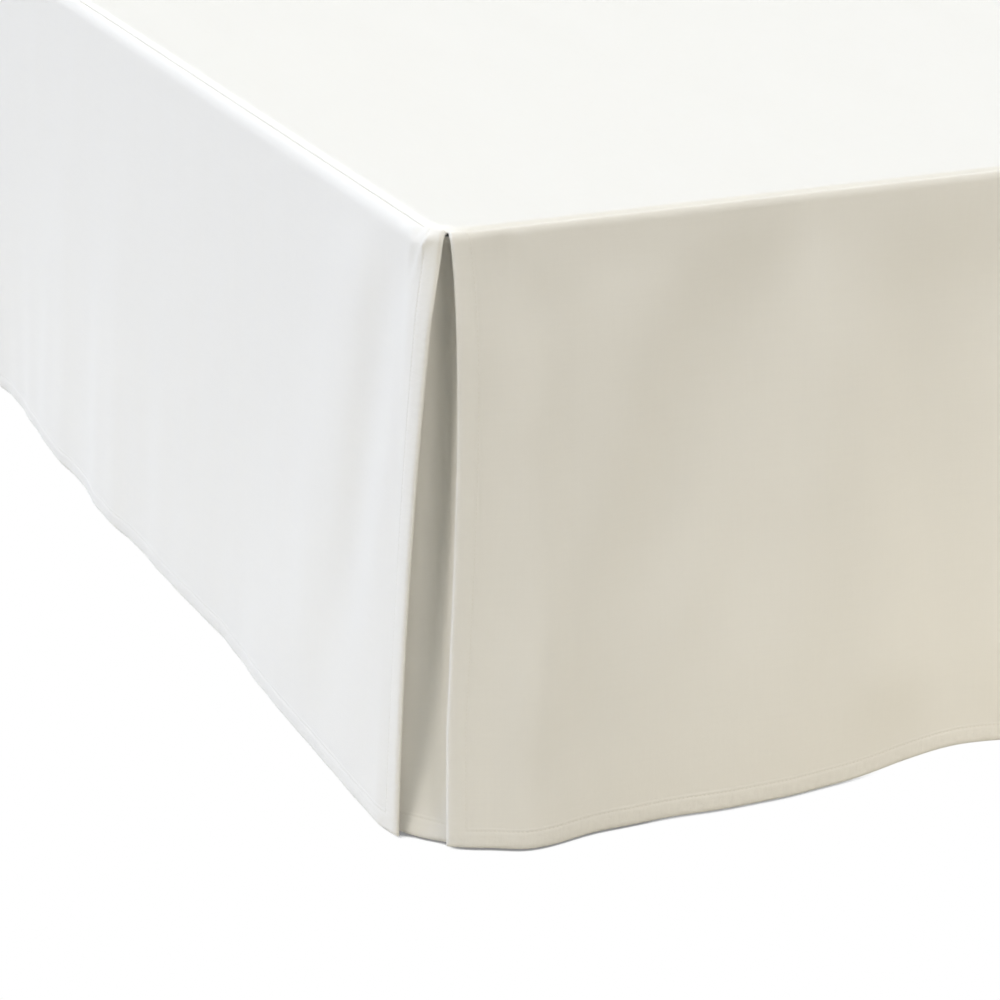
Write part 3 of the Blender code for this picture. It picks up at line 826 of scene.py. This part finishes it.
def woven_cotton(name, colour, weave, pucker):
    """Cotton cloth that follows the cloth's own flat places."""
    made, shader = principled(name, colour, COTTON_ROUGHNESS)
    tree = made.node_tree
    flat = tree.nodes.new("ShaderNodeUVMap")
    flat.uv_map = "cloth"
    distance = tree.nodes.new("ShaderNodeAttribute")
    distance.attribute_name = "from_hem"
    threads = tree.nodes.new("ShaderNodeGroup")
    threads.node_tree = weave
    tree.links.new(flat.outputs["UV"], threads.inputs["Place"])
    gathers = tree.nodes.new("ShaderNodeGroup")
    gathers.node_tree = pucker
    tree.links.new(flat.outputs["UV"], gathers.inputs["Place"])
    tree.links.new(distance.outputs["Fac"], gathers.inputs["From Hem"])
    shaded_colour(tree, threads.outputs["Shade"], colour, shader)
    height = math_node(tree, "ADD", threads.outputs["Height"], gathers.outputs["Height"])
    bumped(tree, height, shader)
    return made


def ticking_cloth(name, colour, weave):
    """Plain ticking on the hidden base."""
    made, shader = principled(name, colour, TICKING_ROUGHNESS)
    tree = made.node_tree
    place = tree.nodes.new("ShaderNodeTexCoord")
    threads = tree.nodes.new("ShaderNodeGroup")
    threads.node_tree = weave
    tree.links.new(place.outputs["Object"], threads.inputs["Place"])
    shaded_colour(tree, threads.outputs["Shade"], colour, shader)
    bumped(tree, threads.outputs["Height"], shader)
    return made


def stained_wood(name, colour):
    """Dark stained wood with its grain up the leg."""
    made, shader = principled(name, colour, WOOD_ROUGHNESS)
    tree = made.node_tree
    place = tree.nodes.new("ShaderNodeTexCoord")
    grain = streaks(tree, place.outputs["Object"], GRAIN_SCALE, GRAIN_DETAIL)
    shade = math_node(tree, "ADD", math_node(tree, "MULTIPLY", grain, GRAIN_SHADE), GRAIN_DARKEST)
    shaded_colour(tree, shade, colour, shader)
    bumped(tree, math_node(tree, "MULTIPLY", grain, GRAIN_HEIGHT), shader)
    return made


# ---------------------------------------------------------------- build
COTTON_IVORY = (0.905, 0.890, 0.845)
THREAD_IVORY = (0.86, 0.84, 0.78)
TICKING_WHITE = (0.74, 0.73, 0.70)
LEG_BROWN = (0.13, 0.08, 0.05)

weave = weave_group()
cotton = woven_cotton("ivory_cotton", COTTON_IVORY, weave, pucker_group())
sewing_thread = principled("ivory_thread", THREAD_IVORY, THREAD_ROUGHNESS)[0]
make_deck(cotton, sewing_thread)
foot = Panel("skirt_foot", foot_edge(-1, 0.0), foot_edge(1, 0.0),
             ((foot_edge, -1), (foot_edge, 1)), FOOT_CREASES, FOOT_PUCKERS)
make_panel(foot, "foot_drop", cotton, sewing_thread)
left = Panel("skirt_side_left", -HEAD_RUN, side_edge(-1, 0.0),
             ((side_edge, -1),), LEFT_CREASES, LEFT_PUCKERS)
make_panel(left, "side_drop_left", cotton, sewing_thread)
right = Panel("skirt_side_right", side_edge(1, 0.0), HEAD_RUN, ((side_edge, 1),), [], [])
make_panel(right, "side_drop_right", cotton, sewing_thread)
make_inset("skirt_corner_left", "corner_inset_left", -1, cotton, sewing_thread)
make_inset("skirt_corner_right", "corner_inset_right", 1, cotton, sewing_thread)
make_base(ticking_cloth("base_ticking", TICKING_WHITE, weave))
leg_finish = stained_wood("leg_wood", LEG_BROWN)
for number in range(1, LEG_COUNT + 1):
    make_leg(f"leg_{number}", leg_finish)


# ---------------------------------------------------------------- stage
# The white floor, its colour in bounced light, and its shade below the hem,
# found by looking away from an inner box and a little up.
FLOOR_HALF = 7.0
FLOOR_BOUNCE = (0.56, 0.54, 0.48)
FLOOR_SHADE_REACH = 0.012
FLOOR_SHADE = 12.0
FLOOR_SHADE_START = 0.85
FLOOR_SHADE_DARKEST = 0.25
FLOOR_SHADE_SAMPLES = 32
FLOOR_LOOK_UP = 0.15
FLOOR_INNER_MARGIN = 0.05
FLOOR_INNER_X = HANG_HALF_WIDTH - FLOOR_INNER_MARGIN
FLOOR_INNER_Y = HANG_HALF_LENGTH - FLOOR_INNER_MARGIN
FILL = (0.02, 0.02, 0.02)

# Soft suns round the bed: the way each shines from, turned from the left side
# towards the foot, how high it stands, how wide it is, its colour and strength.
Light = namedtuple("Light", "name turn height width colour energy")
LIGHTS = (
    Light("window_light", -40.0, 25.0, 30.0, (0.65, 0.75, 1.00), 1.85),
    Light("room_light", 8.0, 25.0, 30.0, (1.00, 0.95, 0.87), 1.02),
    Light("front_light", 112.0, 35.0, 40.0, (1.00, 0.94, 0.86), 1.03),
    Light("top_light", 0.0, 90.0, 30.0, (0.98, 1.00, 0.97), 1.90),
)

# A low card in front of the foot: its size, its place and what it faces.
CARD_SIZE = (0.8, 0.15)
CARD_PLACE = (-0.05, -1.45, 0.06)
CARD_AIM = (-0.05, -1.03, 0.10)
CARD_COLOUR = (1.00, 0.92, 0.78)
CARD_POWER = 0.66

# The camera: its place, its tilt below level, its turn from the bed's length,
# its focal length and sensor width in millimetres, and how far it sees.
CAMERA_PLACE = (-1.3685, -2.4968, 0.8313)
CAMERA_TILT = 20.697
CAMERA_TURN = -23.335
CAMERA_LENS = 107.47
CAMERA_SENSOR = 36.0
CAMERA_REACH = 50.0


def sun(light):
    """A soft sun that shines from a direction."""
    lamp = bpy.data.lights.new(light.name, "SUN")
    lamp.angle = radians(light.width)
    lamp.color = light.colour
    lamp.energy = light.energy
    placed = bpy.data.objects.new(light.name, lamp)
    placed.rotation_euler = (0.0, radians(light.height - 90.0), radians(light.turn))
    bpy.context.scene.collection.objects.link(placed)


def low_card():
    """A low warm card of light, unseen by the camera."""
    lamp = bpy.data.lights.new("low_card", "AREA")
    lamp.shape = "RECTANGLE"
    lamp.size, lamp.size_y = CARD_SIZE
    lamp.color = CARD_COLOUR
    lamp.energy = CARD_POWER
    placed = bpy.data.objects.new("low_card", lamp)
    placed.location = CARD_PLACE
    away = Vector(CARD_PLACE) - Vector(CARD_AIM)
    placed.rotation_euler = away.to_track_quat("Z", "Y").to_euler()
    placed.visible_camera = False
    bpy.context.scene.collection.objects.link(placed)


def white_floor():
    """A white floor, bright to the camera and shaded only where the hem nearly touches."""
    shape = bmesh.new()
    bmesh.ops.create_grid(shape, x_segments=1, y_segments=1, size=FLOOR_HALF)
    mesh = bpy.data.meshes.new("floor")
    shape.to_mesh(mesh)
    shape.free()
    made = bpy.data.materials.new("white_floor")
    made.use_nodes = True
    tree = made.node_tree
    tree.nodes.clear()
    place = tree.nodes.new("ShaderNodeTexCoord").outputs["Object"]
    inner = vector_node(tree, "MAXIMUM", place, (-FLOOR_INNER_X, BED_CENTRE_Y - FLOOR_INNER_Y, 0.0))
    inner = vector_node(tree, "MINIMUM", inner, (FLOOR_INNER_X, BED_CENTRE_Y + FLOOR_INNER_Y, 0.0))
    outward = vector_node(tree, "NORMALIZE", vector_node(tree, "SUBTRACT", place, inner))
    lifted = vector_node(tree, "ADD", outward, (0.0, 0.0, FLOOR_LOOK_UP))
    looking = vector_node(tree, "NORMALIZE", lifted)
    shadow = tree.nodes.new("ShaderNodeAmbientOcclusion")
    shadow.samples = FLOOR_SHADE_SAMPLES
    shadow.inputs["Distance"].default_value = FLOOR_SHADE_REACH
    tree.links.new(looking, shadow.inputs["Normal"])
    shade = math_node(tree, "SUBTRACT", FLOOR_SHADE_START, shadow.outputs["AO"], True)
    lit = math_node(tree, "SUBTRACT", 1.0, math_node(tree, "MULTIPLY", shade, FLOOR_SHADE))
    lit = math_node(tree, "MAXIMUM", lit, FLOOR_SHADE_DARKEST)
    glow = tree.nodes.new("ShaderNodeEmission")
    tree.links.new(lit, glow.inputs["Strength"])
    bounce = tree.nodes.new("ShaderNodeBsdfDiffuse")
    bounce.inputs["Color"].default_value = (*FLOOR_BOUNCE, 1.0)
    path = tree.nodes.new("ShaderNodeLightPath")
    mix = tree.nodes.new("ShaderNodeMixShader")
    tree.links.new(path.outputs["Is Camera Ray"], mix.inputs["Fac"])
    tree.links.new(bounce.outputs["BSDF"], mix.inputs[1])
    tree.links.new(glow.outputs["Emission"], mix.inputs[2])
    out = tree.nodes.new("ShaderNodeOutputMaterial")
    tree.links.new(mix.outputs["Shader"], out.inputs["Surface"])
    mesh.materials.append(made)
    floor = bpy.data.objects.new("floor", mesh)
    bpy.context.scene.collection.objects.link(floor)


def white_surround(colour):
    """A dim, even light all round, white where the camera sees it."""
    world = bpy.data.worlds.new("surround")
    world.use_nodes = True
    tree = world.node_tree
    fill = tree.nodes["Background"]
    fill.inputs["Color"].default_value = (*colour, 1.0)
    white = tree.nodes.new("ShaderNodeBackground")
    white.inputs["Color"].default_value = (1.0, 1.0, 1.0, 1.0)
    path = tree.nodes.new("ShaderNodeLightPath")
    mix = tree.nodes.new("ShaderNodeMixShader")
    tree.links.new(path.outputs["Is Camera Ray"], mix.inputs["Fac"])
    tree.links.new(fill.outputs["Background"], mix.inputs[1])
    tree.links.new(white.outputs["Background"], mix.inputs[2])
    tree.links.new(mix.outputs["Shader"], tree.nodes["World Output"].inputs["Surface"])
    bpy.context.scene.world = world


def place_camera():
    """The camera, low off the left corner of the foot."""
    lens = bpy.data.cameras.new("camera")
    lens.sensor_width = CAMERA_SENSOR
    lens.lens = CAMERA_LENS
    lens.clip_end = CAMERA_REACH
    camera = bpy.data.objects.new("camera", lens)
    camera.location = CAMERA_PLACE
    camera.rotation_euler = (radians(90.0 - CAMERA_TILT), 0.0, radians(CAMERA_TURN))
    bpy.context.scene.collection.objects.link(camera)
    bpy.context.scene.camera = camera


white_floor()
white_surround(FILL)
for light in LIGHTS:
    sun(light)
low_card()
place_camera()
bpy.context.scene.view_settings.view_transform = "Standard"
